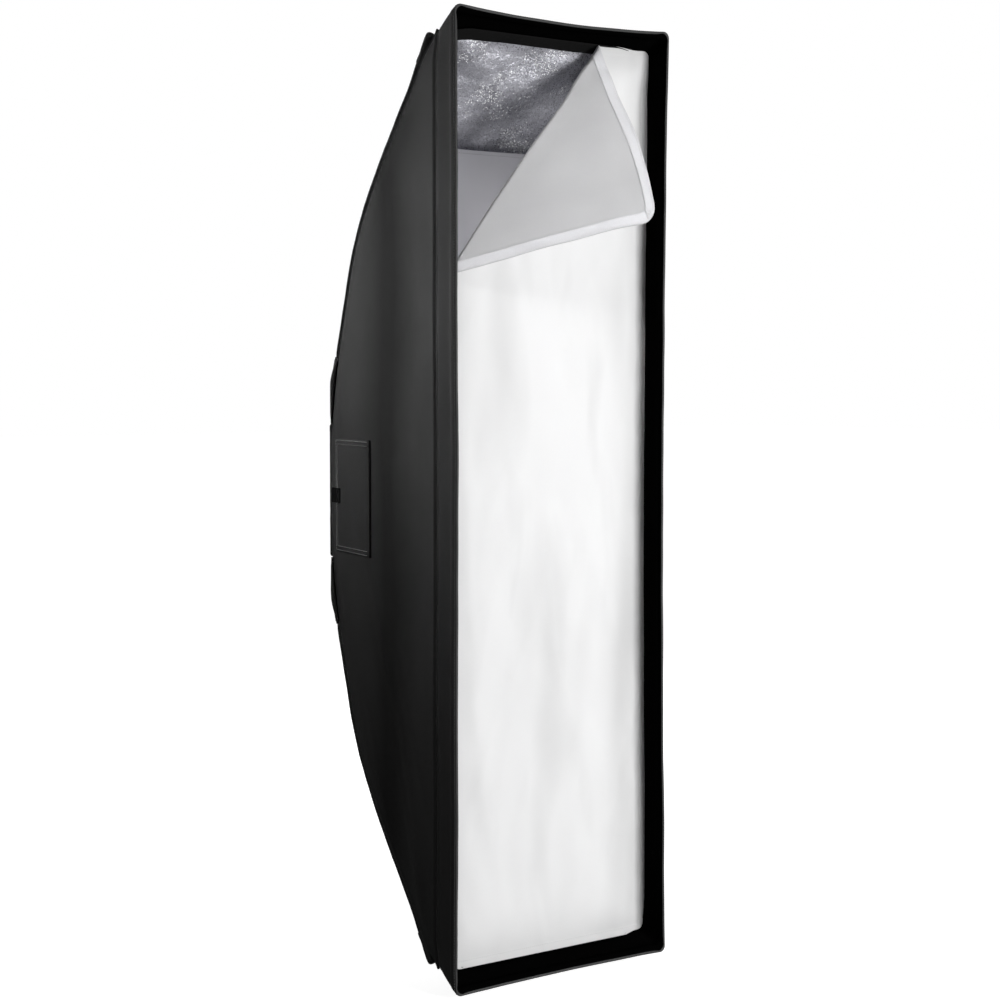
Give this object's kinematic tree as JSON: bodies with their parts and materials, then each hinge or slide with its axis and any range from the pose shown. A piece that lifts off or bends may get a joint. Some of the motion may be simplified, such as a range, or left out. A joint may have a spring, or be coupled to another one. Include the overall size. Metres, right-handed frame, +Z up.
{
  "type": "strip softbox",
  "caption": "Tall narrow fabric softbox on bent rods and a rotating ring, with a recessed lip, an inner baffle and a front diffuser whose corner is peeled forward.",
  "frame": {"origin": "centre of the object's box with the diffuser's corner peeled; the ring's axis is the line x = z = 0 and the mount insert's rear face is at y = 0.2906 m", "axes": "+Z up along the long side, +Y rearwards along the ring's axis towards the lamp head, light leaves towards -Y, +X to the right seen from the back of the camera in front"},
  "size_m": [0.406, 0.5993, 1.422],
  "materials": {
    "black_fabric": "matte coated woven nylon, silver laminate inside",
    "lip_fabric": "matte black woven nylon",
    "webbing": "black tape",
    "diffuser_fabric": "white translucent nylon",
    "baffle_fabric": "white translucent nylon, thinner",
    "fastener_tape": "white loop fastener tape",
    "rod_steel": "spring rod, satin",
    "ring_metal": "black anodised, satin",
    "insert_metal": "turned aluminium",
    "steel": "zinc plated",
    "black_plastic": "moulded black nylon"
  },
  "bodies": {
    "mount_insert": {"mount_insert": "insert_metal", "insert_snap_ring": "steel"},
    "softbox": {"speedring_plate": "ring_metal", "rod_socket_ul": "ring_metal", "rod_socket_ur": "ring_metal", "rod_socket_ll": "ring_metal", "rod_socket_lr": "ring_metal", "socket_screw_ul": "steel", "socket_screw_ur": "steel", "socket_screw_ll": "steel", "socket_screw_lr": "steel", "rod_ul": "rod_steel", "rod_ur": "rod_steel", "rod_ll": "rod_steel", "rod_lr": "rod_steel", "rod_tip_ul": "black_plastic", "rod_tip_ur": "black_plastic", "rod_tip_ll": "black_plastic", "rod_tip_lr": "black_plastic", "rod_channel_ul": "black_fabric", "rod_channel_ur": "black_fabric", "rod_channel_ll": "black_fabric", "rod_channel_lr": "black_fabric", "rod_pocket_ul": "black_fabric", "rod_pocket_ur": "black_fabric", "rod_pocket_ll": "black_fabric", "rod_pocket_lr": "black_fabric", "side_panel_left": "black_fabric", "side_panel_right": "black_fabric", "top_panel": "black_fabric", "bottom_panel": "black_fabric", "front_lip": "lip_fabric", "rear_hem": "black_fabric", "hook_band_left": "webbing", "hook_band_right": "webbing", "hook_band_top": "webbing", "hook_band_bottom": "webbing"},
    "lock_screw_top": {"ring_lock_screw_top": "black_plastic"},
    "lock_screw_bottom": {"ring_lock_screw_bottom": "black_plastic"},
    "rear_flap_top": {"rear_flap_top": "black_fabric"},
    "rear_flap_bottom": {"rear_flap_bottom": "black_fabric"},
    "access_flap_left": {"access_flap_left": "black_fabric", "pull_tab_left": "webbing"},
    "access_flap_right": {"access_flap_right": "black_fabric", "pull_tab_right": "webbing"},
    "inner_baffle": {"inner_baffle": "baffle_fabric", "baffle_tab_ul": "fastener_tape", "baffle_tab_ur": "fastener_tape", "baffle_tab_ll": "fastener_tape", "baffle_tab_lr": "fastener_tape"},
    "front_diffuser": {"front_diffuser": "diffuser_fabric", "diffuser_tape_left": "fastener_tape", "diffuser_tape_right": "fastener_tape", "diffuser_tape_bottom": "fastener_tape"},
    "diffuser_corner": {"diffuser_corner": "diffuser_fabric", "corner_tape_top": "fastener_tape", "corner_tape_side": "fastener_tape"}
  },
  "joints": [
    {"name": "ring_rotation", "type": "hinge", "parent": "mount_insert", "child": "softbox", "pos_m": [0, 0.3026, 0], "axis": [0, 1, 0], "continuous": true},
    {"name": "lock_screw_top_turn", "type": "hinge", "parent": "softbox", "child": "lock_screw_top", "pos_m": [0, 0.2766, 0.09], "axis": [0, 0, 1], "range_deg": [0, 720]},
    {"name": "lock_screw_bottom_turn", "type": "hinge", "parent": "softbox", "child": "lock_screw_bottom", "pos_m": [0, 0.2766, -0.09], "axis": [0, 0, -1], "range_deg": [0, 720]},
    {"name": "rear_flap_top_hinge", "type": "hinge", "parent": "softbox", "child": "rear_flap_top", "pos_m": [0, 0.24353, 0.21854], "axis": [1, 0, 0], "range_deg": [0, 105]},
    {"name": "rear_flap_bottom_hinge", "type": "hinge", "parent": "softbox", "child": "rear_flap_bottom", "pos_m": [0, 0.24353, -0.21854], "axis": [-1, 0, 0], "range_deg": [0, 105]},
    {"name": "access_flap_left_hinge", "type": "hinge", "parent": "softbox", "child": "access_flap_left", "pos_m": [-0.14093, 0.0776, -0.005], "axis": [0, 0, 1], "range_deg": [0, 150]},
    {"name": "access_flap_right_hinge", "type": "hinge", "parent": "softbox", "child": "access_flap_right", "pos_m": [0.14093, 0.0776, -0.005], "axis": [0, 0, -1], "range_deg": [0, 150]},
    {"name": "inner_baffle_slide", "type": "slide", "parent": "softbox", "child": "inner_baffle", "axis": [0, -1, 0], "range_m": [0, 0.1]},
    {"name": "front_diffuser_slide", "type": "slide", "parent": "softbox", "child": "front_diffuser", "axis": [0, -1, 0], "range_m": [0, 0.12]},
    {"name": "diffuser_corner_fold", "type": "hinge", "parent": "front_diffuser", "child": "diffuser_corner", "pos_m": [-0.0495, -0.1853, 0.5115], "axis": [-0.6481, 0, -0.7616], "range_deg": [-15, 150]}
  ]
}
